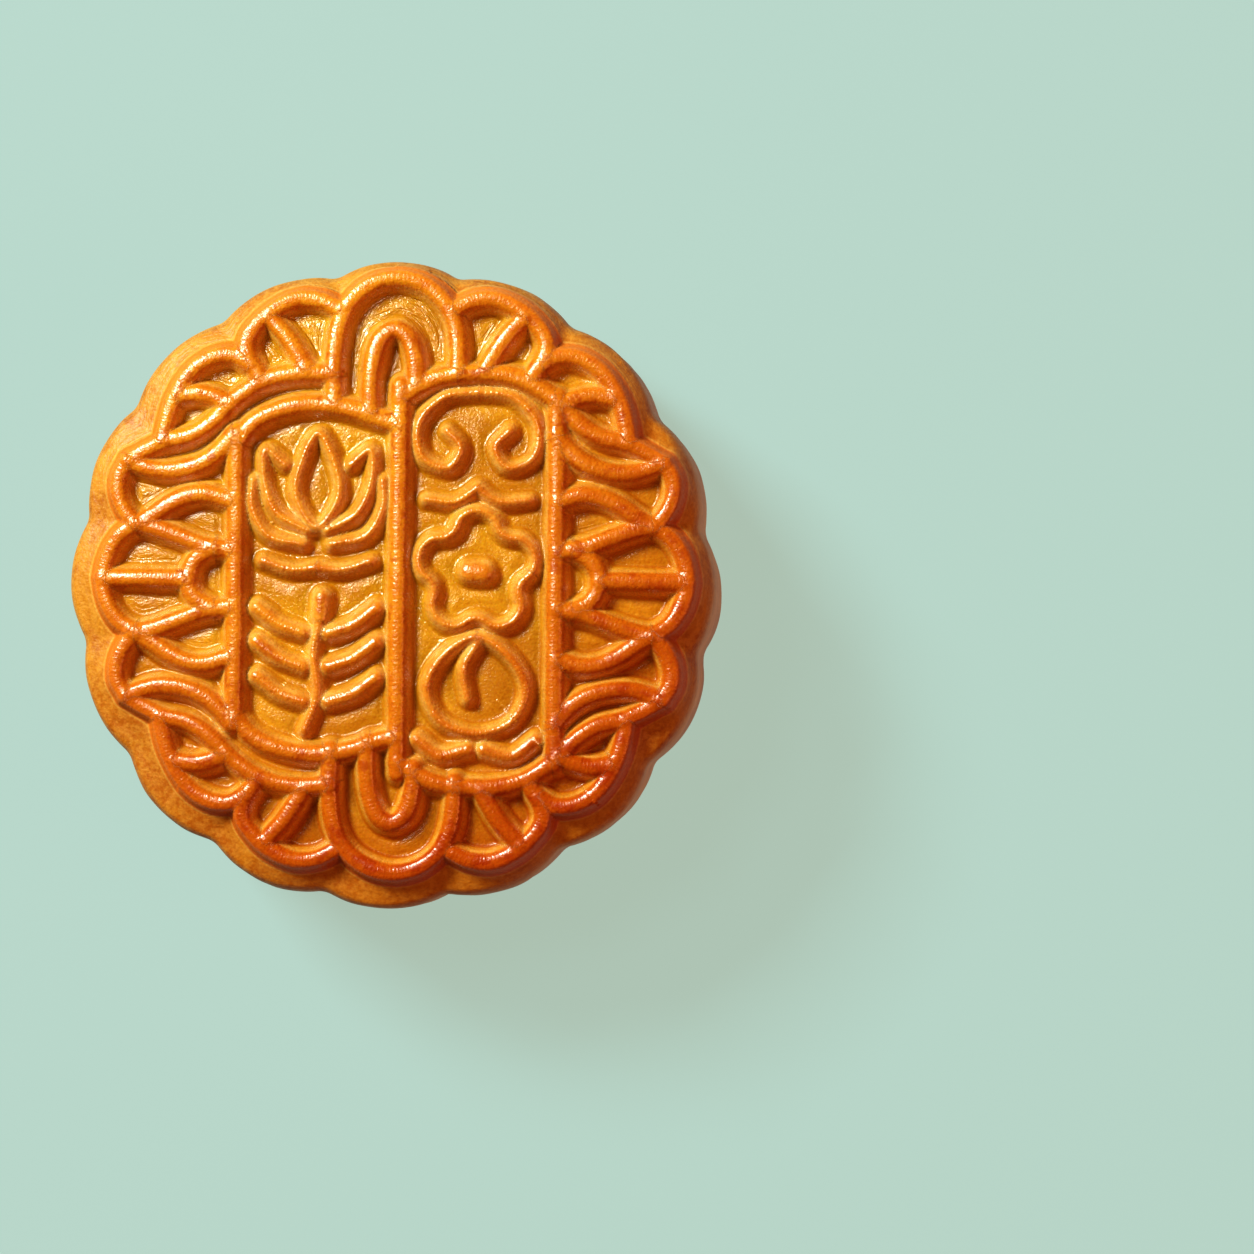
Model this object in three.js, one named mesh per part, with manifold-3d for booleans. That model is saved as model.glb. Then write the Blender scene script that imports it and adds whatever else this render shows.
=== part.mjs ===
// A baked mooncake lying on its base: one solid of filled pastry with a scalloped wall, a bevel round the
// top edge, and a face pressed by a carved mould. Millimetres, +Z up, origin at the middle of the underside.
import * as THREE from "three";
import { mergeVertices } from "three/addons/utils/BufferGeometryUtils.js";
import Module from "manifold-3d";

const wasm = await Module();
wasm.setup();

// ---- Driving dimensions -------------------------------------------------------------------------------------------
const LOBES = 16; // scallops round the wall, one at the top of the face
const TIP_RADIUS = 39.3; // axis to the tip of a scallop
const NOTCH_RADIUS = 37.9; // axis to the groove between two scallops
const LOBE_STEPS = 4; // facets along one scallop
const SHELF_HEIGHT = 29.2; // underside to the edge of the face, where the bevel starts
const DOME_RISE = 2.0; // how much higher the middle of the face's floor is than its edge
const DOME_RADIUS = 35.5; // where the dome starts

// Wall from the foot to the top of the bevel: how far inside the widest outline, and how high.
const WALL = [
  { inset: 3.6, z: 0 },
  { inset: 2.2, z: 0.35 },
  { inset: 1.2, z: 1.3 },
  { inset: 0.6, z: 3.4 },
  { inset: 0, z: 12 },
  { inset: 0.15, z: 21 },
  { inset: 0.4, z: 27 },
  { inset: 0.85, z: 28.15 },
  { inset: 2.3, z: SHELF_HEIGHT },
];
const DOME_RINGS = [35.5, 22]; // radii of the facet rings on the dome
const DOME_FACETS = 24;

// Moulded lines: width at the foot and height above the floor.
const RIDGE = { width: 3.9, height: 2.4 };
const MOTIF = { width: 3, height: 2 };
const LONGEST_STEP = 8; // between two sections of a line
const TURN_STEP = THREE.MathUtils.degToRad(23); // how far a line turns between two sections, at most on average
const SUNK = 0.9; // how far a line's sides run on below the floor
const CREST = 0.28; // half width of the crest, as a share of a line's width
const SHOULDER = 0.8; // height at which the crest starts to round off, as a share of a line's height
const UPWARDS = new THREE.Vector3(0, 0, 1);

const turned = (count, at) => Array.from({ length: count }, (_, i) => at((2 * Math.PI * i) / count));

// ---- Body ---------------------------------------------------------------------------------------------------------
// Distance from the axis to the widest outline: round arcs that meet in grooves.
function outline(angle) {
  const pitch = (2 * Math.PI) / LOBES;
  const half = NOTCH_RADIUS * Math.sin(pitch / 2);
  const chord = NOTCH_RADIUS * Math.cos(pitch / 2);
  const rise = TIP_RADIUS - chord;
  const arc = (half * half + rise * rise) / (2 * rise);
  const centre = TIP_RADIUS - arc;
  const off = angle - pitch * Math.round(angle / pitch);
  return centre * Math.cos(off) + Math.sqrt(arc * arc - (centre * Math.sin(off)) ** 2);
}

const floorHeight = (x, y) => SHELF_HEIGHT + DOME_RISE * Math.max(0, 1 - (x * x + y * y) / DOME_RADIUS ** 2);

// A solid from rows of points, each row joined to the next one. Rows are closed loops, and the first and the last are
// filled from a middle point.
function loft(rows, bottomPoint, topPoint) {
  const size = rows[0].length;
  const points = [...rows.flat(), bottomPoint, topPoint];
  const bottom = points.length - 2;
  const top = points.length - 1;
  const index = [];
  for (let i = 0; i < size; i++) {
    const next = (i + 1) % size;
    index.push(bottom, next, i);
    for (let row = 0; row < rows.length - 1; row++) {
      const a = row * size;
      const b = a + size;
      index.push(a + i, a + next, b + next, a + i, b + next, b + i);
    }
    const last = (rows.length - 1) * size;
    index.push(top, last + i, last + next);
  }
  const geometry = new THREE.BufferGeometry().setFromPoints(points);
  geometry.setIndex(index);
  return geometry;
}

// A level loop of points round the axis.
function loop(count, radiusAt, z) {
  return turned(count, (angle) => {
    const radius = radiusAt(angle);
    return new THREE.Vector3(radius * Math.cos(angle), radius * Math.sin(angle), z);
  });
}

function bodyGeometry() {
  const rows = WALL.map(({ inset, z }) => loop(LOBES * LOBE_STEPS, (angle) => outline(angle) - inset, z));
  return loft(rows, new THREE.Vector3(0, 0, 0), new THREE.Vector3(0, 0, SHELF_HEIGHT));
}

function domeGeometry() {
  const sunk = loop(DOME_FACETS, () => DOME_RADIUS, SHELF_HEIGHT - 1);
  const rings = DOME_RINGS.map((radius) => loop(DOME_FACETS, () => radius, floorHeight(radius, 0)));
  const under = new THREE.Vector3(0, 0, SHELF_HEIGHT - 1);
  return loft([sunk, ...rings], under, new THREE.Vector3(0, 0, floorHeight(0, 0)));
}

// ---- The mould's drawing ------------------------------------------------------------------------------------------
// A line is a smooth curve through a few points of the face. One quarter of the wreath is drawn, with x and y counted
// outwards from the middle, and the other three are its mirror images.
const SIDES = [-1, 0.99]; // the right half is pressed a little narrower
const ENDS = [1, -1];
const BIG_PETALS = [1.01, -0.978]; // the bottom one is pressed a little shorter
const FACE_SHIFT = new THREE.Vector3(0.95, 0.6, 0); // how far off the middle of the cake the mould was pressed
const FACE_SCALE = new THREE.Vector3(0.98, 1, 1); // the pressed lines beside the drawing, which the dough drew in
const FACE_TURN = THREE.MathUtils.degToRad(0.6); // anticlockwise seen from above
const PETAL_LINES = [
  // second petal: its rim, and the rib across it
  [[7.3, 32.4], [9.3, 33.3], [12, 33.5], [14.6, 32.5], [16.9, 30.8], [18.4, 28.7], [18.3, 26.7], [16.9, 24.4]],
  [[15.6, 31.2], [13.4, 28.9], [11, 25.2]],
  // third petal
  [[18, 25.7], [19.8, 26.7], [22.2, 26.6], [24.6, 25.4], [26.4, 23.4], [27.6, 21], [28.3, 18.6], [28.7, 16.6]],
  [[26.6, 21.8], [24.3, 22.1], [22.2, 21.7], [20.4, 20.9]],
  // fourth petal: its rim, and the leaf below it
  [[33, 14], [34, 12.2], [34.1, 10.3], [33.4, 8.4], [31.9, 6.5]],
  [[20.2, 9.4], [23, 10.1], [25.3, 9.9], [27.5, 9], [29.5, 7.7], [31.6, 6.5]],
  // side petal: one edge
  [[31.7, 6.5], [29.4, 6], [26.4, 5], [23.5, 4], [20.2, 3.4]],
  // tendril that leaves the corner of a panel
  [[19.8, 17.2], [21.2, 15.6], [22.8, 14.3], [24.7, 13.4], [27.2, 12.9], [29.7, 13], [32.8, 14]],
  // outer border, from the big petal to the tip of the fourth petal
  [[7.6, 24.5], [11.6, 24.6], [14.4, 24.2], [16.7, 23.4], [18.7, 22.2], [20.4, 20.9], [21.8, 19.4], [23.4, 18.1],
    [25.3, 17.1], [28.3, 16.4], [30.6, 15.4], [32.9, 14.1]],
];
// Lines of the top, drawn once and mirrored to the bottom: the big petal and the loop in it.
const TOP_LINES = [
  [[-7.6, 24.5], [-7.5, 27.5], [-7, 30.4], [-5.6, 33.1], [-3.1, 35], [0, 35.7], [3.1, 35], [5.6, 33.1],
    [7, 30.4], [7.5, 27.5], [7.6, 24.5]],
  [[-3, 19.8], [-3.1, 23], [-2.8, 26], [-1.8, 28.7], [-0.2, 29.6], [1.4, 28.7], [2.4, 26], [2.5, 22.8]],
  [[-7.6, 25], [-7.5, 20.8]],
];
// Lines of the left side, drawn with x outwards and mirrored to the right: the rim and the ribs of the side petal.
const SIDE_LINES = [
  [[31.8, 6.4], [33.8, 5.2], [35.3, 3], [36, 0], [35.3, -3], [33.8, -5.2], [31.8, -6.4]],
  [[36, 0], [31, 0], [25.2, 0]],
  [[22, 3.7], [24.3, 2.3], [25.2, 0], [24.3, -2.3], [22, -3.7]],
];
// Panel borders: a short panel on the left and a tall one on the right of a shared bar.
const BAR = { left: -19.4, middle: 0.6, right: 19.7, shortTop: 17.4, tallTop: 21.8 };
const PANEL_LINES = [
  [[BAR.middle, BAR.tallTop + 1.2], [BAR.middle, -BAR.tallTop - 1.2]],
  [[BAR.left, BAR.shortTop], [BAR.left, -BAR.shortTop]],
  [[BAR.right, BAR.tallTop], [BAR.right, -BAR.tallTop]],
];
const SHORT_PANEL_ARC = [[BAR.middle, 18.6], [-2.6, 19.4], [-4.9, 20.2], [-8, 20.8], [-11, 20.8], [-13.7, 20.3],
  [-15.9, 19.5], [-17.6, 18.4], [-19.1, 16.6]];
const TALL_PANEL_ARC = [[BAR.middle, 21.7], [2.4, 22.8], [4.9, 24], [8, 24.6]];

const mirrored = (line, x, y) => line.map(([px, py]) => [px * x, py * y]);

function mouldLines() {
  const lines = [...PANEL_LINES];
  for (const y of ENDS) {
    lines.push(...[SHORT_PANEL_ARC, TALL_PANEL_ARC].map((line) => mirrored(line, 1, y)));
    for (const x of SIDES) lines.push(...PETAL_LINES.map((line) => mirrored(line, x, y)));
  }
  for (const y of BIG_PETALS) lines.push(...TOP_LINES.map((line) => mirrored(line, 1, y)));
  for (const x of SIDES) lines.push(...SIDE_LINES.map((line) => mirrored(line, x, 1)));
  return lines.map((points) => ({ points, ...RIDGE }));
}

// ---- Ornaments in the panels --------------------------------------------------------------------------------------
// Each returns lines round its own middle. Lines with closed: true join up with their start.
const eachSide = (lines) => [-1, 1].flatMap((side) => lines.map((line) => mirrored(line, side, 1)));

function blossom() {
  const petals = 5;
  const reach = (angle) => 4.7 + 2.6 * Math.abs(Math.cos((petals * (angle - Math.PI / 2)) / 2)) ** 0.8;
  const rim = turned(30, (angle) => [reach(angle) * Math.cos(angle), reach(angle) * Math.sin(angle)]);
  return [
    { points: rim, closed: true },
    { points: [[-0.8, 0], [0.8, 0]], width: 4 },
  ];
}

function lotus() {
  const middle = [[0, -3.2], [-2.6, 0.6], [-2, 4.6], [0, 8], [2, 4.6], [2.6, 0.6]];
  const half = [
    [[1.2, -3.6], [5, -1.4], [6.6, 2.6], [6.4, 6], [4, 4.2]],
    [[1.8, -5.2], [6, -4.2], [8, -0.8], [8, 2.4]],
    [[0, -8], [3.2, -8.2], [6.6, -7.2]],
  ];
  return [{ points: middle, closed: true }, ...eachSide(half).map((points) => ({ points }))];
}

function sprig() {
  const stem = { points: [[-1.4, -8.4], [0.2, -4], [-0.3, 1], [0.4, 4.6]] };
  const bud = { points: [[0.4, 5.2], [0.7, 7.4]], width: 3.6 };
  const pair = (y) => eachSide([[[1.5, y], [4.5, y + 1], [7.3, y + 3]]]);
  const leaves = [-5, -0.8, 3.2].flatMap(pair).map((points) => ({ points, width: 3.4 }));
  return [stem, bud, ...leaves];
}

function cloud() {
  const scroll = [[0, 6.8], [4.2, 6.2], [7.2, 3], [6.7, -1], [3.6, -2.2], [2.1, 0.2], [3.8, 2.2]];
  const tail = [[0, -4.6], [2.6, -6.2], [6.2, -6]];
  return eachSide([scroll, tail]).map((points) => ({ points }));
}

function peach() {
  const fruit = [[0, 7], [-3.9, 4.8], [-6, 1], [-4.4, -2.9], [0, -4.4], [4.4, -2.9], [6, 1], [3.9, 4.8]];
  const crease = { points: [[0.2, 6.4], [-1.5, 3.2], [-1, -0.4]] };
  const leaves = eachSide([[[1, -6.4], [4.4, -7.1], [7.2, -5.2]]]).map((points) => ({ points, width: 3.4 }));
  return [{ points: fruit, closed: true }, crease, ...leaves];
}

const ORNAMENTS = [
  { draw: lotus, x: -9.4, y: 9.4 },
  { draw: sprig, x: -9.4, y: -9.6 },
  { draw: cloud, x: 10.1, y: 15.6 },
  { draw: blossom, x: 10.1, y: 1 },
  { draw: peach, x: 10.1, y: -13.7 },
];

function ornamentLines() {
  return ORNAMENTS.flatMap(({ draw, x, y }) =>
    draw().map((line) => ({ ...MOTIF, ...line, points: line.points.map(([px, py]) => [px + x, py + y]) })),
  );
}

// ---- Lines made solid ---------------------------------------------------------------------------------------------
const END_SHARE = 0.45; // how narrow a line's round end is where it stops
const END_REACH = 0.4; // how far a line's round end runs past its last point, as a share of its width
const LEAST_RISE = 0.45; // height of a line that has narrowed to nothing, as a share of its full height

// The section of a line at one place of its path, as a closed loop seen along the path. share shrinks it at an end.
function section({ at, along, width, height, share }) {
  const side = new THREE.Vector2(-along.y, along.x);
  const place = (offset, rise) => {
    const x = at.x + side.x * offset;
    const y = at.y + side.y * offset;
    return new THREE.Vector3(x, y, floorHeight(x, y) + rise);
  };
  const foot = (width / 2) * share + SUNK / 2;
  const crest = CREST * width * share;
  const rise = height * (LEAST_RISE + (1 - LEAST_RISE) * share);
  return [
    place(-foot, -SUNK),
    place(foot, -SUNK),
    place(crest, rise * SHOULDER),
    place(0, rise),
    place(-crest, rise * SHOULDER),
  ];
}

// A point of the drawing where the mould pressed it.
function pressed([x, y]) {
  return new THREE.Vector3(x, y, 0).multiply(FACE_SCALE).applyAxisAngle(UPWARDS, FACE_TURN).add(FACE_SHIFT);
}

// How far a path turns in all, in radians.
function turning(path) {
  const tangents = Array.from({ length: 41 }, (_, i) => path.getTangentAt(i / 40));
  return tangents.slice(1).reduce((sum, tangent, i) => sum + tangent.angleTo(tangents[i]), 0);
}

function lineGeometry({ points, width, height, closed = false }) {
  const path = new THREE.CatmullRomCurve3(points.map(pressed), closed, "centripetal");
  const steps = Math.max(2, Math.ceil(path.getLength() / LONGEST_STEP), Math.ceil(turning(path) / TURN_STEP));
  const rows = [];
  for (let i = 0; i < steps + (closed ? 0 : 1); i++) {
    const at = path.getPointAt(i / steps);
    const along = path.getTangentAt(i / steps);
    rows.push(section({ at, along, width, height, share: 1 }));
  }
  if (closed) return ringGeometry(rows);
  const [first, last] = [0, 1].map((u) => {
    const along = path.getTangentAt(u);
    const at = path.getPointAt(u).addScaledVector(along, (u ? 1 : -1) * END_REACH * width);
    return section({ at, along, width, height, share: END_SHARE });
  });
  const all = [first, ...rows, last];
  const middle = (row) => row.reduce((sum, p) => sum.add(p), new THREE.Vector3()).divideScalar(row.length);
  return loft(all, middle(first), middle(last));
}

// A loft that runs back into its own start.
function ringGeometry(rows) {
  const size = rows[0].length;
  const index = [];
  rows.forEach((_, row) => {
    for (let i = 0; i < size; i++) {
      const [a, b] = [row * size, ((row + 1) % rows.length) * size];
      const next = (i + 1) % size;
      index.push(a + i, a + next, b + next, a + i, b + next, b + i);
    }
  });
  const geometry = new THREE.BufferGeometry().setFromPoints(rows.flat());
  geometry.setIndex(index);
  return geometry;
}

const MERGE = 0.03; // facets that lie within this of one another become one

// ---- Solids joined ------------------------------------------------------------------------------------------------
function solidOf(geometry) {
  const merged = mergeVertices(geometry, 1e-4);
  const solid = new wasm.Manifold(
    new wasm.Mesh({
      numProp: 3,
      vertProperties: merged.attributes.position.array,
      triVerts: new Uint32Array(merged.index.array),
    }),
  );
  if (solid.volume() > 0) return solid;
  throw new Error("a line's faces point inwards");
}

function geometryOf(solid) {
  const { numProp, vertProperties, triVerts } = solid.getMesh();
  const positions = new Float32Array((vertProperties.length / numProp) * 3);
  for (let i = 0; i < positions.length / 3; i++) {
    positions.set(vertProperties.subarray(i * numProp, i * numProp + 3), i * 3);
  }
  const geometry = new THREE.BufferGeometry();
  geometry.setAttribute("position", new THREE.BufferAttribute(positions, 3));
  geometry.setIndex(new THREE.BufferAttribute(new Uint32Array(triVerts), 1));
  geometry.computeVertexNormals();
  return geometry;
}

let pastry = solidOf(bodyGeometry()).add(solidOf(domeGeometry()));
for (const line of [...mouldLines(), ...ornamentLines()]) pastry = pastry.add(solidOf(lineGeometry(line)));

const crust = new THREE.MeshStandardMaterial({ color: 0xd9822b, roughness: 0.42, metalness: 0 });
const mesh = new THREE.Mesh(geometryOf(pastry.simplify(MERGE)), crust);
mesh.name = "mooncake";

const mooncake = new THREE.Group();
mooncake.add(mesh);

export default mooncake;
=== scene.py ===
"""A whole baked mooncake that lies on its base, its moulded and egg-glazed face upwards.

Shapes are worked out in millimetres, with z up and the origin under the middle of the cake, and become
metres in the mesh. The moulded face is a floor with rounded lines raised on it. Each line follows a smooth
curve through a few points of the face.
"""

import math

import bpy
import numpy as np
from mathutils import Matrix, Vector


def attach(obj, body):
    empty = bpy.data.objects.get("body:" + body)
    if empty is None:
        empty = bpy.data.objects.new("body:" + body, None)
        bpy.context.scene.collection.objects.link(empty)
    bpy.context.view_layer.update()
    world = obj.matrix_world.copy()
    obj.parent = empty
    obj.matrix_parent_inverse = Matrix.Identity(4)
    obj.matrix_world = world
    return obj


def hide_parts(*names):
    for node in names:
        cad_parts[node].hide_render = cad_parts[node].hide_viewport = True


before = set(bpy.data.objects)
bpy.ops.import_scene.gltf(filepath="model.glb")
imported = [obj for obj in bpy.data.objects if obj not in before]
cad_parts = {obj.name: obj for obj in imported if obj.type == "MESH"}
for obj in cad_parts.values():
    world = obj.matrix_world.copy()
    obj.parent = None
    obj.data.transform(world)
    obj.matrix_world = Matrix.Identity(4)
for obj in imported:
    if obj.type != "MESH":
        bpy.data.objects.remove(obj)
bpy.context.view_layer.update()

MM = 0.001

# ---- Size of the cake, in millimetres ------------------------------------------------------------
LOBES = 16  # scallops round the wall, one of them at the top of the face
TIP_RADIUS = 39.3
NOTCH_RADIUS = 37.9
NOTCH_ROUNDING = 0.7
SLACK = 0.22  # from the scallops' arcs in to the crust's widest outline: room for its unevenness
SHELF_HEIGHT = 29.2  # of the face's rim, where the dome begins
DOME_RISE = 2.0
DOME_RADIUS = 35.5
BEVEL_DROP = 1.05  # from the edge of the face to the top of the wall
BEVEL_START = 0.15  # from the foot of the outermost lines, outwards

# The wall from below the bevel down to the foot: how far inside the widest outline, and how high.
WALL = [
    (0.85, SHELF_HEIGHT - BEVEL_DROP),
    (0.45, 27.5),
    (0.2, 26.5),
    (0.1, 21.0),
    (0.0, 12.0),
    (0.6, 3.4),
    (1.2, 1.3),
    (2.2, 0.35),
    (3.6, 0.0),
]
WALL_ROWS = 14
ROW_TRAVEL = 22  # length of wall that counts as much as a turn of ROW_TURN when its rows are spaced
ROW_TURN = 1.4  # in radians
FACE_CELLS = 284  # grid cells along each side of the face
FACE_INSET = WALL[0][0]
MEAN_DROP = 0.7  # from the tips of the scallops to the mean radius of the wall
RING_POWER = 8  # the higher, the nearer to the edge the grid's rings take on the scallops

# ---- The mould's drawing, in millimetres from its own middle -------------------------------------
# x counts outwards and y up in the quarter of the wreath that is drawn. The other quarters mirror it.
SIDES = (-1, 0.99)  # the right half is pressed a little narrower
ENDS = (1, -1)
BIG_PETALS = (1.01, -0.978)  # the bottom one is pressed a little shorter
FACE_SHIFT = np.array([0.95, 0.6])  # how far off the middle of the cake the mould was pressed
FACE_SCALE = np.array([0.98, 1.0])  # of the pressed lines, as the dough drew back at the sides
FACE_TURN = math.radians(0.6)  # anticlockwise

PETAL_LINES = [
    # second petal: its rim, and the rib across it
    [(7.3, 32.4), (9.3, 33.3), (12, 33.5), (14.6, 32.5), (16.9, 30.8), (18.4, 28.7), (18.3, 26.7),
     (16.9, 24.4)],
    [(15.6, 31.2), (13.4, 28.9), (11, 25.2)],
    # third petal
    [(18, 25.7), (19.8, 26.7), (22.2, 26.6), (24.6, 25.4), (26.4, 23.4), (27.6, 21), (28.3, 18.6),
     (28.7, 16.6)],
    [(26.6, 21.8), (24.3, 22.1), (22.2, 21.7), (20.4, 20.9)],
    # fourth petal: its rim, and the leaf below it
    [(33, 14), (34, 12.2), (34.1, 10.3), (33.4, 8.4), (31.9, 6.5)],
    [(20.2, 9.4), (23, 10.1), (25.3, 9.9), (27.5, 9), (29.5, 7.7), (31.6, 6.5)],
    # side petal: one edge
    [(31.7, 6.5), (29.4, 6), (26.4, 5), (23.5, 4), (20.2, 3.4)],
    # tendril that leaves the corner of a panel
    [(19.8, 17.2), (21.2, 15.6), (22.8, 14.3), (24.7, 13.4), (27.2, 12.9), (29.7, 13), (32.8, 14)],
    # outer border, from the big petal to the tip of the fourth petal
    [(7.6, 24.5), (11.6, 24.6), (14.4, 24.2), (16.7, 23.4), (18.7, 22.2), (20.4, 20.9), (21.8, 19.4),
     (23.4, 18.1), (25.3, 17.1), (28.3, 16.4), (30.6, 15.4), (32.9, 14.1)],
]
# Drawn at the top and mirrored to the bottom: the big petal, and the loop in it.
TOP_LINES = [
    [(-7.6, 24.5), (-7.5, 27.5), (-7, 30.4), (-5.6, 33.1), (-3.1, 35), (0, 35.7), (3.1, 35), (5.6, 33.1),
     (7, 30.4), (7.5, 27.5), (7.6, 24.5)],
    [(-3, 19.8), (-3.1, 23), (-2.8, 26), (-1.8, 28.7), (-0.2, 29.6), (1.4, 28.7), (2.4, 26), (2.5, 22.8)],
    [(-7.6, 25), (-7.5, 20.8)],
]
# Drawn on the left with x outwards and mirrored to the right: the rim and the ribs of the side petal.
SIDE_LINES = [
    [(31.8, 6.4), (33.8, 5.2), (35.3, 3), (36, 0), (35.3, -3), (33.8, -5.2), (31.8, -6.4)],
    [(36, 0), (31, 0), (25.2, 0)],
    [(22, 3.7), (24.3, 2.3), (25.2, 0), (24.3, -2.3), (22, -3.7)],
]
# Panel borders: a short panel on the left and a tall one on the right of a shared bar.
LEFT_BAR, MIDDLE_BAR, RIGHT_BAR = -19.4, 0.6, 19.7
SHORT_TOP, TALL_TOP = 17.4, 21.8
PANEL_LINES = [
    [(MIDDLE_BAR, TALL_TOP + 1.2), (MIDDLE_BAR, -TALL_TOP - 1.2)],
    [(LEFT_BAR, SHORT_TOP), (LEFT_BAR, -SHORT_TOP)],
    [(RIGHT_BAR, TALL_TOP), (RIGHT_BAR, -TALL_TOP)],
]
SHORT_PANEL_ARC = [(MIDDLE_BAR, 18.6), (-2.6, 19.4), (-4.9, 20.2), (-8, 20.8), (-11, 20.8), (-13.7, 20.3),
                   (-15.9, 19.5), (-17.6, 18.4), (-19.1, 16.6)]
TALL_PANEL_ARC = [(MIDDLE_BAR, 21.7), (2.4, 22.8), (4.9, 24), (8, 24.6)]

# Raised lines: height above the floor, half width of the top, rounding of its edges and slope of the sides.
RIDGE = {"height": 2.3, "top": 0.8, "edge": 0.34, "slope": 2.1}
MOTIF = {"height": 1.95, "top": 0.4, "edge": 0.5, "slope": 1.9}
OUTER_STEEPNESS = 1.5  # of the wreath's outer side, as a share of the other sides
SIDE_START = 0.4  # how far below the top the sides begin
JOIN = 0.5  # rounding where two lines meet
FILLET = 0.5  # rounding where a line meets the floor
SWELL = 0.3  # how far the dough puffs up between the lines
SWELL_SPAN = 3  # fall of a line's sides over which most of that swelling comes
CALM_RIM = 3  # how far inside the dome's edge the swelling and the ripple fade
LINE_REACH = 5.0  # how far from a line its sides are worked out
LOWEST = -6.0  # level where no line is near
LINE_GAP = 100.0  # from where one line's count of its length starts to where the next one's does

# Unevenness of the baked dough: its size, the length of its waves in millimetres, and its seed.
FATNESS = (0.06, 7, 11)  # share of a line's width
TALLNESS = (0.05, 9, 12)  # share of a line's height
RIPPLE = (0.06, 6, 13)  # of the face
BULGE = (0.15, 12, 21)  # of the wall
DIMPLE = (0.05, 4, 22)  # of the wall
BULGE_FADE = 3  # how far from the top and the foot of the wall its unevenness fades
WAVES = 7  # sine waves in each unevenness
WAVE_STRETCH = (0.7, 1.4)  # the shortest and the longest of them, as shares of its wavelength
WAVES_PEAK = 4  # about the most that they add up to


def mirrored(line, x, y):
    """A line with each point's place across times x and its place up times y."""
    return [(px * x, py * y) for px, py in line]


def mould_lines():
    """The wreath and the panel borders: the drawn quarter and its mirror images."""
    lines = list(PANEL_LINES)
    for y in ENDS:
        lines += [mirrored(line, 1, y) for line in (SHORT_PANEL_ARC, TALL_PANEL_ARC)]
        for x in SIDES:
            lines += [mirrored(line, x, y) for line in PETAL_LINES]
    for y in BIG_PETALS:
        lines += [mirrored(line, 1, y) for line in TOP_LINES]
    for x in SIDES:
        lines += [mirrored(line, x, 1) for line in SIDE_LINES]
    return [{"points": points, **RIDGE} for points in lines]


# ---- Ornaments in the panels ---------------------------------------------------------------------
# Each returns lines round its own middle.
def each_side(lines):
    """The mirror images of lines on the left, and then the lines as they are drawn on the right."""
    return [mirrored(line, side, 1) for side in (-1, 1) for line in lines]


def plain(lines, **differences):
    """Lines of an ornament, in its usual form apart from the differences."""
    return [{"points": points, **differences} for points in lines]


def blossom(petals=5, notch=4.7, rise=2.6, roundness=0.8, steps=30):
    """Round petals and a button in their middle. From each notch to each tip, the rim's distance from the
    middle rises with a power of the cosine of the angle times half the number of petals."""
    angle = np.linspace(0, 2 * math.pi, steps, endpoint=False)
    reach = notch + rise * np.abs(np.cos(petals / 2 * (angle - math.pi / 2))) ** roundness
    rim = np.stack([reach * np.cos(angle), reach * np.sin(angle)], axis=1)
    return plain([rim], closed=True) + plain([[(-0.8, 0), (0.8, 0)]], top=1.0)


def lotus():
    """A closed middle petal, two open ones on each side, and a shallow curve under them."""
    middle = [(0, -3.2), (-2.6, 0.6), (-2, 4.6), (0, 8), (2, 4.6), (2.6, 0.6)]
    half = [
        [(1.2, -3.6), (5, -1.4), (6.6, 2.6), (6.4, 6), (4, 4.2)],
        [(1.8, -5.2), (6, -4.2), (8, -0.8), (8, 2.4)],
        [(0, -8), (3.2, -8.2), (6.6, -7.2)],
    ]
    return plain([middle], closed=True) + plain(each_side(half))


def sprig():
    """A stem with a bud at its end, and three pairs of leaves that rise outwards."""
    stem = plain([[(-1.4, -8.4), (0.2, -4), (-0.3, 1), (0.4, 4.6)]])
    bud = plain([[(0.4, 5.2), (0.7, 7.4)]], top=0.8)
    leaves = [leaf for y in (-5, -0.8, 3.2) for leaf in each_side([[(1.5, y), (4.5, y + 1), (7.3, y + 3)]])]
    return stem + bud + plain(leaves, top=0.65)


def cloud():
    """A scroll that curls in on each side, and a wave that trails off to each side under it."""
    scroll = [(0, 6.8), (4.2, 6.2), (7.2, 3), (6.7, -1), (3.6, -2.2), (2.1, 0.2), (3.8, 2.2)]
    tail = [(0, -4.6), (2.6, -6.2), (6.2, -6)]
    return plain(each_side([scroll, tail]))


def peach():
    """A closed fruit with a crease down from its tip, and a leaf on each side under it."""
    fruit = [(0, 7), (-3.9, 4.8), (-6, 1), (-4.4, -2.9), (0, -4.4), (4.4, -2.9), (6, 1), (3.9, 4.8)]
    crease = [(0.2, 6.4), (-1.5, 3.2), (-1, -0.4)]
    leaves = each_side([[(1, -6.4), (4.4, -7.1), (7.2, -5.2)]])
    return plain([fruit], closed=True) + plain([crease]) + plain(leaves, top=0.65)


ORNAMENTS = [
    (lotus, -9.4, 9.4),
    (sprig, -9.4, -9.6),
    (cloud, 10.1, 15.6),
    (blossom, 10.1, 1.0),
    (peach, 10.1, -13.7),
]


def ornament_lines():
    """Every ornament's lines, moved to its place in the panels."""
    return [
        {**MOTIF, **line, "points": np.asarray(line["points"], float) + (x, y)}
        for draw, x, y in ORNAMENTS
        for line in draw()
    ]


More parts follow.
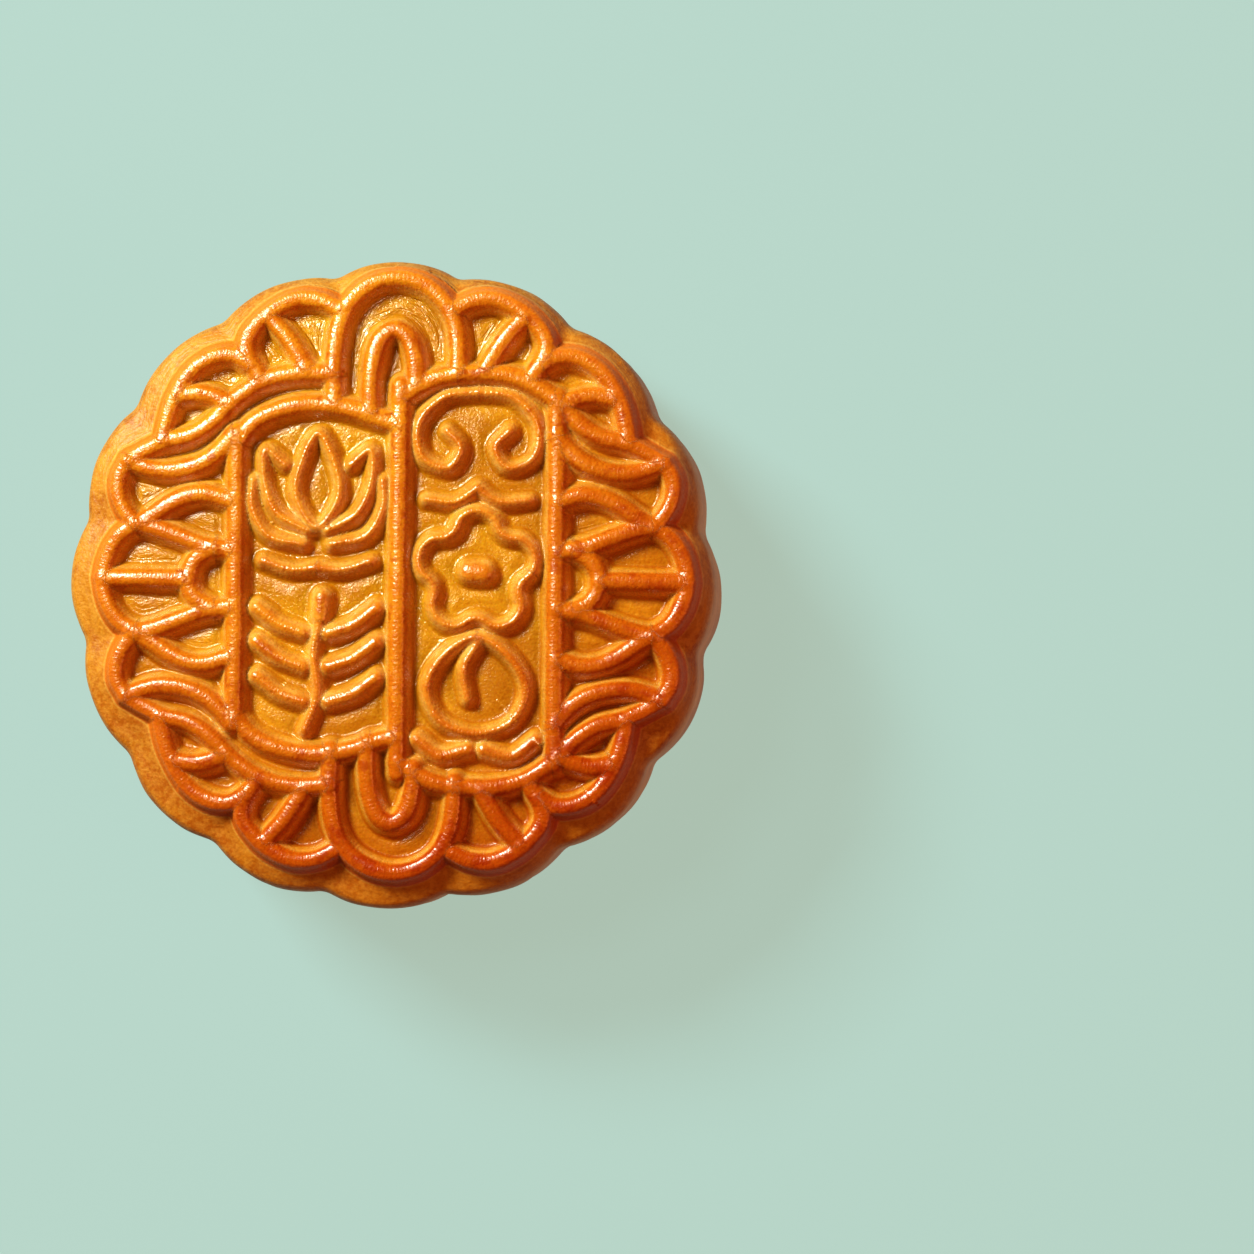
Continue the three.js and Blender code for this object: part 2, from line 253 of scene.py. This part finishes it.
# ---- Curves and blends ---------------------------------------------------------------------------
def smooth_path(points, closed=False, steps=8):
    """Spline through points: between two of them a cubic whose end slopes come from the neighbours, with
    knots spaced by the square root of the distance between points."""
    p = np.asarray(points, float)
    if closed:
        p = np.vstack([p[-1:], p, p[:2]])
    else:
        p = np.vstack([2 * p[0] - p[1], p, 2 * p[-1] - p[-2]])
    gap = np.sqrt(np.linalg.norm(np.diff(p, axis=0), axis=1))[:, None]
    before, here, after = gap[:-2], gap[1:-1], gap[2:]
    p0, p1, p2, p3 = p[:-3], p[1:-2], p[2:-1], p[3:]
    leave = here * ((p1 - p0) / before - (p2 - p0) / (before + here) + (p2 - p1) / here)
    arrive = here * ((p2 - p1) / here - (p3 - p1) / (here + after) + (p3 - p2) / after)
    bend = 3 * (p2 - p1) - 2 * leave - arrive
    twist = 2 * (p1 - p2) + leave + arrive
    t = np.linspace(0, 1, steps, endpoint=False)[:, None]
    parts = p1[:, None] + leave[:, None] * t + bend[:, None] * t**2 + twist[:, None] * t**3
    return np.vstack([parts.reshape(-1, p.shape[1]), p2[-1]])


def nearest_on(path, x, y):
    """Shortest distance from each point to a chain of straight pieces, each point being dropped square on
    to them, and how far along the chain that foot is."""
    start, along = path[:-1], np.diff(path, axis=0)
    length = np.maximum(np.hypot(*along.T), 1e-6)
    dx, dy = x[:, None] - start[:, 0], y[:, None] - start[:, 1]
    t = np.clip((dx * along[:, 0] + dy * along[:, 1]) / length**2, 0, 1)
    squared = (dx - t * along[:, 0]) ** 2 + (dy - t * along[:, 1]) ** 2
    piece = squared.argmin(axis=1)
    row = np.arange(len(x))
    before = np.concatenate([[0], np.cumsum(length)[:-1]])
    return np.sqrt(squared[row, piece]), before[piece] + t[row, piece] * length[piece]


def blend_up(a, b, reach):
    """The larger of a and b, with a round join where they differ by less than reach."""
    near = np.maximum(reach - np.abs(a - b), 0) / reach
    return np.maximum(a, b) + near**2 * reach / 4


def unevenness(x, y, z, kind):
    """A smooth value between about minus and plus the kind's size: the sum of sine waves in seeded directions
    of space, whose lengths vary about the kind's."""
    size, wavelength, seed = kind
    random = np.random.default_rng(seed)
    total = np.zeros_like(x)
    for _ in range(WAVES):
        direction = random.normal(size=3)
        direction /= np.linalg.norm(direction)
        stretch = random.uniform(*WAVE_STRETCH)
        phase = random.uniform(0, 2 * math.pi)
        along = direction[0] * x + direction[1] * y + direction[2] * z
        total += np.sin(2 * math.pi * along / (wavelength * stretch) + phase)
    return size * (total / WAVES_PEAK)


# ---- Shape ---------------------------------------------------------------------------------------
def outline(angle):
    """Distance from the axis to the widest outline: SLACK inside the farther of the round arcs of the two
    nearest scallops."""
    pitch = 2 * math.pi / LOBES
    half_chord = NOTCH_RADIUS * math.sin(pitch / 2)
    rise = TIP_RADIUS - NOTCH_RADIUS * math.cos(pitch / 2)
    arc = (half_chord**2 + rise**2) / (2 * rise)
    centre = TIP_RADIUS - arc

    def arc_at(off):
        return centre * np.cos(off) + np.sqrt(arc**2 - (centre * np.sin(off)) ** 2)

    off = np.abs(angle - pitch * np.round(angle / pitch))
    return blend_up(arc_at(off), arc_at(pitch - off), NOTCH_ROUNDING) - SLACK


def pressed(line):
    """A line's path where the mould pressed it: its smooth curve, scaled, turned and then shifted."""
    x, y = (smooth_path(line["points"], line.get("closed", False)) * FACE_SCALE).T
    cosine, sine = math.cos(FACE_TURN), math.sin(FACE_TURN)
    return np.stack([x * cosine - y * sine, x * sine + y * cosine], axis=1) + FACE_SHIFT


def raised_lines(x, y):
    """How far each point is above the floor, less than 0 away from the lines: the highest of the lines
    there. A line is almost level as far as the edges of its top, and then falls away in straight sides.
    Also how far each point is along and beside that highest line."""
    fatness = 1 + unevenness(x, y, 0 * x, FATNESS)
    tallness = 1 + unevenness(x, y, 0 * x, TALLNESS)
    level = np.full(x.shape, LOWEST)
    along, beside = np.zeros_like(x), np.zeros_like(x)
    for number, line in enumerate(mould_lines() + ornament_lines()):
        path = pressed(line)
        low, high = path.min(axis=0) - LINE_REACH, path.max(axis=0) + LINE_REACH
        near = (x > low[0]) & (x < high[0]) & (y > low[1]) & (y < high[1])
        distance, travelled = nearest_on(path, x[near], y[near])
        aside = distance / fatness[near]
        beyond = aside - line["top"]
        fall = line["slope"] * (beyond + np.hypot(beyond, line["edge"])) / 2
        line_level = line["height"] * tallness[near] - fall
        highest = line_level > level[near]
        along[near] = np.where(highest, travelled + LINE_GAP * number, along[near])
        beside[near] = np.where(highest, aside, beside[near])
        level[near] = blend_up(level[near], np.maximum(line_level, LOWEST), JOIN)
    return level, along, beside


def reach_of_lines(angle, sectors=180):
    """Distance from the axis to the outermost line, from the farthest path point in each of equal sectors."""
    paths = np.vstack([pressed(line) for line in mould_lines()])
    turn = np.arctan2(paths[:, 1], paths[:, 0])
    farthest = np.zeros(sectors)
    np.maximum.at(farthest, np.floor((turn / (2 * math.pi) % 1) * sectors).astype(int), np.hypot(*paths.T))
    return farthest[np.floor((angle / (2 * math.pi) % 1) * sectors).astype(int)]


def outside_lines(x, y):
    """Whether each point is farther from the axis than the outermost line in its direction."""
    return np.hypot(x, y) > reach_of_lines(np.arctan2(y, x))


def steeper_outside(x, y, level):
    """The outer side of the wreath falls away more steeply than the sides within it."""
    steeper = level - (OUTER_STEEPNESS - 1) * np.maximum(RIDGE["height"] - SIDE_START - level, 0)
    return np.where(outside_lines(x, y), np.maximum(steeper, LOWEST), level)


def beyond_lines(x, y, level):
    """How far each point is outside the foot of the wreath's outer lines: less than 0 on their outer side,
    and LOWEST inside them."""
    passed = -level / (RIDGE["slope"] * OUTER_STEEPNESS) - BEVEL_START
    return np.where(outside_lines(x, y), passed, LOWEST)


def face_height(x, y, level):
    """The dome's floor, a little higher away from the lines and sloping down outside the wreath, with the
    lines raised on it."""
    floor = SHELF_HEIGHT + DOME_RISE * np.maximum(0, 1 - (x**2 + y**2) / DOME_RADIUS**2)
    gap = np.maximum(outline(np.arctan2(y, x)) - FACE_INSET - np.hypot(x, y), 0)
    passed = np.maximum(beyond_lines(x, y, level), 0)
    bevel = BEVEL_DROP * passed / (passed + gap + 1e-6)
    inner = np.clip((DOME_RADIUS - np.hypot(x, y)) / CALM_RIM, 0, 1)
    swell = SWELL * inner * (1 - np.exp(np.minimum(level, 0) / SWELL_SPAN))
    ripple = unevenness(x, y, 0 * x, RIPPLE)
    return floor - bevel + ripple * inner + blend_up(level, swell, FILLET)


def face_grid():
    """A square grid bent to fill the scalloped outline: each square ring of it becomes a round one, and the
    rings take on the scallops towards the edge."""
    steps = np.linspace(-1, 1, FACE_CELLS + 1)
    a, b = np.meshgrid(steps, steps, indexing="xy")
    wide = np.abs(a) > np.abs(b)
    ring = np.where(wide, a, b)
    other = np.where(wide, b, a)
    share = np.divide(other, ring, out=np.zeros_like(ring), where=np.abs(ring) > 1e-12)
    angle = np.where(wide, math.pi / 4 * share, math.pi / 2 - math.pi / 4 * share)
    angle = np.where(ring < 0, angle + math.pi, angle)
    radius = np.abs(ring)
    edge = outline(angle) - FACE_INSET
    mean = TIP_RADIUS - FACE_INSET - MEAN_DROP
    reach = radius * (mean + (edge - mean) * radius**RING_POWER)
    return reach * np.cos(angle), reach * np.sin(angle)


def wall_profile():
    """Insets and heights down the wall, with rows closest together where it turns."""
    path = smooth_path(WALL, steps=16)
    step = np.diff(path, axis=0)
    heading = np.unwrap(np.arctan2(step[:, 1], step[:, 0]))
    turn = np.concatenate([np.abs(np.diff(heading)), [0]])
    travelled = np.concatenate([[0], np.cumsum(np.hypot(*step.T) / ROW_TRAVEL + turn / ROW_TURN)])
    rows = np.linspace(0, travelled[-1], WALL_ROWS + 1)
    return np.interp(rows, travelled, path[:, 0]), np.interp(rows, travelled, path[:, 1])


def edge_loop():
    """Numbers of the face grid's edge points, once round, anticlockwise seen from above."""
    n = FACE_CELLS
    number = np.arange((n + 1) ** 2).reshape(n + 1, n + 1)
    return np.concatenate([number[0, :-1], number[:-1, -1], number[-1, :0:-1], number[:0:-1, 0]])


def face_triangles(height):
    """Two triangles a cell, split along the diagonal with the smaller step, so that slanting lines stay
    smooth."""
    n = FACE_CELLS
    number = np.arange((n + 1) ** 2).reshape(n + 1, n + 1)
    corners = [number[:-1, :-1], number[:-1, 1:], number[1:, 1:], number[1:, :-1]]
    a, b, c, d = (corner.ravel() for corner in corners)
    first = np.abs(height[a] - height[c]) < np.abs(height[b] - height[d])
    one = np.where(first[:, None], np.stack([a, b, c], axis=1), np.stack([a, b, d], axis=1))
    two = np.where(first[:, None], np.stack([a, c, d], axis=1), np.stack([b, c, d], axis=1))
    return np.vstack([one, two])


def band_triangles(upper, lower):
    """Triangles between two closed loops of the same length, the first above or outside the second."""
    next_upper, next_lower = np.roll(upper, -1), np.roll(lower, -1)
    return np.vstack([
        np.stack([upper, lower, next_lower], axis=1),
        np.stack([upper, next_lower, next_upper], axis=1),
    ])


def wall_points(angle):
    """Rows of points down the wall, each of them one point for every angle: the outline less the profile's
    inset, plus an unevenness that fades out towards the top and the foot."""
    insets, heights = wall_profile()
    radius = outline(angle)[None, :] - insets[1:, None]
    z = np.repeat(heights[1:, None], len(angle), axis=1)
    x, y = radius * np.cos(angle), radius * np.sin(angle)
    bulge = unevenness(x, y, z, BULGE) + unevenness(x, y, z, DIMPLE)
    middle = np.clip((SHELF_HEIGHT - z) / BULGE_FADE, 0, 1) * np.clip(z / BULGE_FADE, 0, 1)
    radius = radius + middle * bulge
    return radius * np.cos(angle), radius * np.sin(angle), z


def crust_shape():
    """The whole closed surface: the face grid, the wall's rows below its edge, and a flat base, which is a
    fan of triangles round its middle."""
    x, y = (part.ravel() for part in face_grid())
    level, along, beside = raised_lines(x, y)
    level = steeper_outside(x, y, level)
    z = face_height(x, y, level)
    loop = edge_loop()
    wall_x, wall_y, wall_z = wall_points(np.arctan2(y[loop], x[loop]))
    first, count = len(x), len(loop)
    rows = [loop] + [first + count * row + np.arange(count) for row in range(WALL_ROWS)]
    foot, centre = rows[-1], first + count * WALL_ROWS
    triangles = [
        face_triangles(z),
        *[band_triangles(upper, lower) for upper, lower in zip(rows, rows[1:])],
        np.stack([foot, np.full(count, centre), np.roll(foot, -1)], axis=1),
    ]
    points = np.stack([
        np.concatenate([x, wall_x.ravel(), [0]]),
        np.concatenate([y, wall_y.ravel(), [0]]),
        np.concatenate([z, wall_z.ravel(), [0]]),
    ], axis=1)
    rest = np.zeros(len(points) - len(level))
    values = {
        "level": np.concatenate([level, rest + LOWEST]),
        "along": np.concatenate([along, rest]),
        "beside": np.concatenate([beside, rest]),
    }
    return points, np.vstack(triangles), values


def add_piece(name, points, triangles):
    """A mesh object with its place in its mesh. Every face is smooth."""
    mesh = bpy.data.meshes.new(name)
    mesh.vertices.add(len(points))
    mesh.vertices.foreach_set("co", (points * MM).astype(np.float32).ravel())
    mesh.loops.add(triangles.size)
    mesh.loops.foreach_set("vertex_index", triangles.astype(np.int32).ravel())
    mesh.polygons.add(len(triangles))
    mesh.polygons.foreach_set("loop_start", np.arange(0, triangles.size, 3, dtype=np.int32))
    mesh.polygons.foreach_set("use_smooth", np.ones(len(triangles), dtype=bool))
    mesh.update(calc_edges=True)
    mesh.validate()
    piece = bpy.data.objects.new(name, mesh)
    bpy.context.scene.collection.objects.link(piece)
    return piece


def add_value(piece, name, values):
    """Keeps a number for each vertex in the mesh, for a finish to read."""
    layer = piece.data.attributes.new(name, "FLOAT", "POINT")
    layer.data.foreach_set("value", values.astype(np.float32))


# ---- Finishes ------------------------------------------------------------------------------------
def tone(red, green, blue):
    """A colour from 0 to 255 as the linear values that shaders take."""
    shares = [channel / 255 for channel in (red, green, blue)]
    return (*[c / 12.92 if c < 0.04045 else ((c + 0.055) / 1.055) ** 2.4 for c in shares], 1.0)


class Reading:
    """A value that changes over a surface. Arithmetic on readings adds Math nodes to their finish."""

    def __init__(self, finish, socket):
        self.finish, self.socket = finish, socket

    def _math(self, operation, first, second):
        return self.finish.node("ShaderNodeMath", {0: first, 1: second}, operation=operation)

    def __add__(self, other):
        return self._math("ADD", self, other)

    def __sub__(self, other):
        return self._math("SUBTRACT", self, other)

    def __rsub__(self, other):
        return self._math("SUBTRACT", other, self)

    def __mul__(self, other):
        return self._math("MULTIPLY", self, other)

    __radd__, __rmul__ = __add__, __mul__


class Finish:
    """A material and the nodes that make its look."""

    def __init__(self, name):
        self.material = bpy.data.materials.new(name)
        self.material.use_nodes = True
        self.tree = self.material.node_tree
        self.tree.nodes.clear()

    def node(self, kind, sockets=(), output=0, **settings):
        """Adds a node, with its settings first and then the values or readings of its sockets."""
        made = self.tree.nodes.new(kind)
        for setting, value in settings.items():
            setattr(made, setting, value)
        for key, value in dict(sockets).items():
            if isinstance(value, Reading):
                self.tree.links.new(value.socket, made.inputs[key])
            else:
                made.inputs[key].default_value = value
        return Reading(self, made.outputs[output]) if made.outputs else None

    def place(self):
        """Each point's place in the piece, in metres."""
        return self.node("ShaderNodeTexCoord", output="Object")

    def value(self, name):
        """The numbers that the mesh keeps under a name."""
        return self.node("ShaderNodeAttribute", output="Fac", attribute_name=name)

    def noise(self, where, size_mm, detail=3.0, roughness=0.55, distortion=0.0):
        """Cloudy noise, mostly from 0.2 to 0.8, whose blotches are about the given size."""
        sockets = {"Vector": where, "Scale": 1 / (size_mm * MM), "Detail": detail, "Roughness": roughness}
        return self.node("ShaderNodeTexNoise", {**sockets, "Distortion": distortion})

    def cells(self, where, size_mm, randomness=1.0):
        """Distance to the nearest of scattered points that are about the given size apart."""
        sockets = {"Vector": where, "Scale": 1 / (size_mm * MM), "Randomness": randomness}
        return self.node("ShaderNodeTexVoronoi", sockets, feature="F1")

    def ease(self, reading, low, high):
        """0 below low and 1 above high, with a smooth rise between them."""
        sockets = {"Value": reading, "From Min": low, "From Max": high}
        return self.node("ShaderNodeMapRange", sockets, interpolation_type="SMOOTHSTEP")

    def mix(self, share, first, second, blend="MIX"):
        """The first colour with a share of the second, which is laid over it or blended in another way."""
        sockets = {0: share, 6: first, 7: second}
        return self.node("ShaderNodeMix", sockets, output=2, data_type="RGBA", blend_type=blend)

    def shader(self, **sockets):
        """A surface. Its sockets are named with underscores for spaces."""
        named = {key.replace("_", " "): value for key, value in sockets.items()}
        return self.node("ShaderNodeBsdfPrincipled", named)

    def show(self, shader):
        """Makes a surface the one that the material shows."""
        self.node("ShaderNodeOutputMaterial", {"Surface": shader})


# Colours of the crust. The two of a pair are what a patchy surface varies between.
GOLDEN = tone(186, 124, 20), tone(208, 150, 34)  # the floors between the lines
FLANKS = tone(206, 140, 60), tone(220, 162, 84)  # the lines' sides
BAKED = tone(200, 114, 22), tone(224, 150, 38)  # the lines' tops
BAND = tone(176, 100, 22), tone(194, 124, 34)  # outside the wreath
WALL_SKIN = tone(180, 98, 38), tone(208, 130, 58)
BASE_SKIN = tone(140, 78, 34), tone(176, 110, 56)
FRECKLE = tone(176, 106, 24)
PALE_FRECKLE = tone(212, 150, 66)
BROWNED = tone(172, 76, 8)
STAINED = tone(180, 80, 10)
# painted shade in the creases at the lines' feet, partly a darker pool of glaze
FOOT_SHADE = tone(168, 78, 8)
OUTER_SIDE = tone(208, 117, 28)
# a painted highlight: a thin pale line along the lip outside the wreath's lines
LIP_HIGHLIGHT = tone(250, 206, 120)
TOASTING_AND_SHADE = tone(230, 188, 130)  # what the brownest places are multiplied by: browning, with painted shade towards the lower right
GRIT = tone(206, 170, 140)

BUMP_DEPTH = 0.0001  # of the skin, in metres
WRINKLE_PITCH = 2.8  # wrinkles across a line, in a millimetre of it
STREAK_PITCH = 2.4  # streaks beside a line, in a millimetre


def crust_finish():
    """Egg-glazed pastry: golden floors, lines with browned, freckled tops and painted shade at their feet, a
    duller wall and a matte base. Browning with painted shade darkens it towards the lower right, and a
    painted highlight runs along the lip outside the wreath. A fine dimpled skin covers it, with wrinkles
    across the lines and streaks on the petals."""
    crust = Finish("glazed_crust")
    place = crust.place()
    level, beyond = crust.value("level"), crust.value("beyond")
    side, under = crust.value("side"), crust.value("under")
    browning_and_shade, petal = crust.value("browning_and_shade"), crust.value("petal")
    along, beside = crust.value("along"), crust.value("beside")

    # Where each colour goes, from 0 to 1.
    raised = crust.ease(level, 0.0, 1.4)
    crest = crust.ease(level, 1.2, 1.9)
    # The feet of the lines, where painted shade goes.
    foot = crust.ease(level, -0.7, 0.0) * (1 - crust.ease(level, 0.1, 0.6))
    sunless = crust.ease(browning_and_shade, 0.05, 0.4)
    outer_side = crust.ease(beyond, -1.3, -0.4)
    outside = crust.ease(beyond, -0.1, 0.1)
    # Where the painted highlight along the lip goes.
    lip_highlight = crust.ease(beyond, -0.2, 0.0) * (1 - crust.ease(beyond, 0.0, 0.25))
    patches = crust.noise(place, 11, detail=3)
    mottle = crust.noise(place, 2.6, detail=4)
    specks = crust.noise(place, 0.7, detail=3, roughness=0.6)
    freckles = crust.ease(crust.noise(place, 0.9, detail=4, roughness=0.65), 0.35, 0.65)
    browned = crust.ease(specks * 0.3 + mottle, 0.66, 0.86) * crest
    stained = crust.ease(mottle * 0.6 + patches * 0.4, 0.42, 0.58) * 0.75 + 0.2
    grit = crust.ease(crust.noise(place, 0.4, detail=2), 0.4, 0.62)

    golden = crust.mix(crust.ease(patches, 0.35, 0.65), *GOLDEN)
    flank = crust.mix(crust.ease(mottle, 0.35, 0.65), *FLANKS)
    baked = crust.mix(crust.ease(patches * 0.4 + mottle * 0.6, 0.4, 0.6), *BAKED)
    colour = crust.mix(raised, golden, flank)
    colour = crust.mix(freckles * 0.25, colour, FRECKLE)
    colour = crust.mix(crest, colour, baked)
    colour = crust.mix(browned * 0.75, colour, BROWNED)
    # Stains on the tops, growing with the browning and painted shade towards the lower right.
    colour = crust.mix(crest * browning_and_shade * stained, colour, STAINED)
    colour = crust.mix(foot * (browning_and_shade * 0.5 + 0.1), colour, FOOT_SHADE)
    colour = crust.mix(outer_side, colour, OUTER_SIDE)
    band = crust.mix(crust.ease(patches * 0.6 + mottle * 0.4, 0.4, 0.6), *BAND)
    band = crust.mix(freckles * 0.5, band, PALE_FRECKLE)
    colour = crust.mix(outside, colour, band)
    colour = crust.mix(lip_highlight * 0.25, colour, LIP_HIGHLIGHT)
    wall = crust.mix(crust.ease(patches + mottle * 0.4, 0.5, 0.9), *WALL_SKIN)
    colour = crust.mix(side, colour, wall)
    sheltered = raised * (1 - crest) * (1 - outer_side)
    # Browning with painted shade, darker towards the lower right and outwards, less on the lines' sides and
    # the wall.
    toasted_and_shaded = browning_and_shade * (1 - sheltered * 0.7) * (1 - outside * 0.5) * (1 - side * 0.8)
    colour = crust.mix(toasted_and_shaded, colour, TOASTING_AND_SHADE, blend="MULTIPLY")
    colour = crust.mix(grit * 0.25, colour, GRIT, blend="MULTIPLY")
    base = crust.mix(crust.ease(mottle, 0.3, 0.7), *BASE_SKIN)
    colour = crust.mix(under, colour, base)

    across = crust.node("ShaderNodeCombineXYZ", {0: along * WRINKLE_PITCH, 1: beside})
    wrinkles = crust.node("ShaderNodeTexNoise", {"Vector": across, "Scale": 1.0, "Detail": 1.0})
    spread = crust.node("ShaderNodeCombineXYZ", {2: beside * STREAK_PITCH})
    drawn = crust.node("ShaderNodeMapping", {"Vector": place, "Scale": (400, 400, 0)})
    drawn = crust.node("ShaderNodeVectorMath", {0: drawn, 1: spread}, operation="ADD")
    sockets = {"Vector": drawn, "Scale": 1.0, "Detail": 2.0, "Distortion": 0.5}
    streaks = crust.node("ShaderNodeTexNoise", sockets)
    dimples = crust.cells(place, 0.36, randomness=0.9)
    grain = crust.noise(place, 0.34, detail=2)
    waves = crust.noise(place, 1.0, detail=3, roughness=0.6, distortion=1.5)
    skin = (dimples * 0.3 + grain * 0.6) * (1 - browning_and_shade * 0.4)
    floor_skin = (waves * (1 - petal * 0.6) + streaks * petal * 3.4) * (1 - sunless * 0.75)
    relief = skin + wrinkles * raised * 0.6 + floor_skin * (1 - raised) * (1 - outside * 0.5)
    bump = crust.node("ShaderNodeBump", {"Height": relief, "Strength": 1.0, "Distance": BUMP_DEPTH})
    glazed = crust.shader(
        Base_Color=colour,
        Roughness=crust.ease(mottle, 0.2, 0.8) * 0.06 + raised * 0.09 + 0.16,
        IOR=1.65,
        Specular_Tint=(1.0, 0.84, 0.78, 1.0),
        Coat_Weight=0.03,
        Coat_Roughness=0.3,
        Subsurface_Weight=0.25,
        Subsurface_Radius=(1.0, 0.35, 0.1),
        Subsurface_Scale=0.0012,
        Normal=bump,
    )
    dull = crust.shader(Base_Color=colour, Roughness=0.45, Specular_IOR_Level=0.3, Normal=bump)
    unglazed = outer_side + (1 - outer_side) * (1 - raised) * sunless * 0.6
    crust.show(crust.node("ShaderNodeMixShader", {0: unglazed, 1: glazed, 2: dull}))
    return crust.material


def floor_finish():
    """A pale floor that is lit from within, so that shadows on it stay light."""
    floor = Finish("pale_floor")
    floor.show(floor.shader(
        Base_Color=tone(60, 76, 80),
        Roughness=0.9,
        Specular_IOR_Level=0.2,
        Emission_Color=tone(153, 169, 158),
        Emission_Strength=1.03,
    ))
    return floor.material


# ---- The cake ------------------------------------------------------------------------------------
BROWNING_AND_SHADE_SPAN = 80  # downwards, from where the crust is palest to where browning and painted shade are strongest
BROWNING_AND_SHADE_SLANT = 0.5  # what a step to the right counts for, as a share of a step down
BROWN_RIM = 32  # radius up to which the browning and painted shade grow outwards
CENTRE_SHARE = 0.3  # share of the browning and painted shade in the middle of the face
PANELS = (20, 22.5)  # how far the two panels reach from the middle of the face, sideways and up
WALL_TOP, WALL_FADE = 27, 4  # where the wall's finish begins, and over what height
FOOT_TOP, FOOT_FADE = 1.4, 1.2  # where the base's finish begins


def places_on_crust(points, level):
    """Where each vertex is, as the finish reads it: how far outside the wreath's lines, how brown it is baked
    together with painted shade, both of which grow to the lower right and outwards, and from 0 to 1 whether
    it is outside the panels, on the wall and under the cake."""
    x, y, z = points.T
    downwards = np.clip(0.5 + (x * BROWNING_AND_SHADE_SLANT - y) / BROWNING_AND_SHADE_SPAN, 0, 1)
    outwards = np.minimum((x**2 + y**2) / BROWN_RIM**2, 1)
    return {
        "beyond": np.where(level > LOWEST, beyond_lines(x, y, level), -LOWEST),
        "browning_and_shade": downwards * (CENTRE_SHARE + (1 - CENTRE_SHARE) * outwards),
        "petal": np.clip(np.maximum(np.abs(x) - PANELS[0], np.abs(y) - PANELS[1]), 0, 1),
        "side": np.clip((WALL_TOP - z) / WALL_FADE, 0, 1),
        "under": np.clip((FOOT_TOP - z) / FOOT_FADE, 0, 1),
    }


points, triangles, values = crust_shape()
mooncake = add_piece("mooncake_crust", points, triangles)
for name, numbers in {**values, **places_on_crust(points, values["level"])}.items():
    add_value(mooncake, name, numbers)
mooncake.data.materials.append(crust_finish())
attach(mooncake, "root")
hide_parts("mooncake")

# ---- Floor, light and camera ---------------------------------------------------------------------
FLOOR_REACH = 60.0  # half of its width
floor_mesh = bpy.data.meshes.new("studio_floor")
corners = [(FLOOR_REACH * x, FLOOR_REACH * y, 0) for x, y in ((-1, -1), (1, -1), (1, 1), (-1, 1))]
floor_mesh.from_pydata(corners, [], [(0, 1, 2, 3)])
floor = bpy.data.objects.new("studio_floor", floor_mesh)
floor_mesh.materials.append(floor_finish())
bpy.context.scene.collection.objects.link(floor)

LAMP_AIM = Vector((0, 0, 0.02))


def add_light(name, place, size, power, colour):
    """A square lamp that faces the middle of the cake."""
    lamp = bpy.data.lights.new(name, "AREA")
    lamp.size, lamp.energy, lamp.color = size, power, colour
    holder = bpy.data.objects.new(name, lamp)
    holder.location = place
    holder.rotation_euler = (LAMP_AIM - Vector(place)).to_track_quat("-Z", "Y").to_euler()
    bpy.context.scene.collection.objects.link(holder)


add_light("key_light", (-0.84, 0.78, 1.05), 0.44, 37.0, (0.76, 0.99, 0.96))
add_light("sheen_light", (-0.43, 0.34, 1.22), 0.30, 3.3, (0.90, 0.99, 1.0))
add_light("fill_light", (1.05, -0.25, 0.75), 0.60, 3.8, (1.0, 0.44, 0.22))

world = bpy.data.worlds.new("studio_air")
world.use_nodes = True
air = world.node_tree.nodes["Background"].inputs
air["Color"].default_value = tone(255, 150, 80)
air["Strength"].default_value = 0.10
bpy.context.scene.world = world

FACE_MIDDLE = Vector((0, 0, 0.029))
CAMERA_DISTANCE = 0.46  # from the face
VIEW_FROM_RIGHT = math.radians(7)
VIEW_FROM_BELOW = math.radians(1)
FRAME_WIDTH = 0.1502  # what the picture spans at the height of the face
CAKE_OFFSET = (-0.0286, 0.00445)  # where the cake's middle is from the picture's middle
LEAN = math.radians(1.1)  # of the camera, to the left
SENSOR_WIDTH = 36  # millimetres
eye = FACE_MIDDLE + CAMERA_DISTANCE * Vector((
    math.sin(VIEW_FROM_RIGHT),
    -math.sin(VIEW_FROM_BELOW),
    math.cos(VIEW_FROM_RIGHT) * math.cos(VIEW_FROM_BELOW),
))
aim = FACE_MIDDLE - Vector((*CAKE_OFFSET, 0))
backward = (eye - aim).normalized()
up = Vector((-math.sin(LEAN), math.cos(LEAN), 0))
rightward = up.cross(backward).normalized()
upward = backward.cross(rightward)
camera_data = bpy.data.cameras.new("camera")
camera_data.sensor_width = SENSOR_WIDTH
camera_data.lens = SENSOR_WIDTH * CAMERA_DISTANCE / FRAME_WIDTH
camera_data.clip_start = 0.01
camera = bpy.data.objects.new("camera", camera_data)
camera.matrix_world = Matrix.Translation(eye) @ Matrix((rightward, upward, backward)).transposed().to_4x4()
bpy.context.scene.collection.objects.link(camera)
bpy.context.scene.camera = camera
bpy.context.scene.view_settings.view_transform = "Standard"
bpy.context.scene.view_settings.look = "High Contrast"
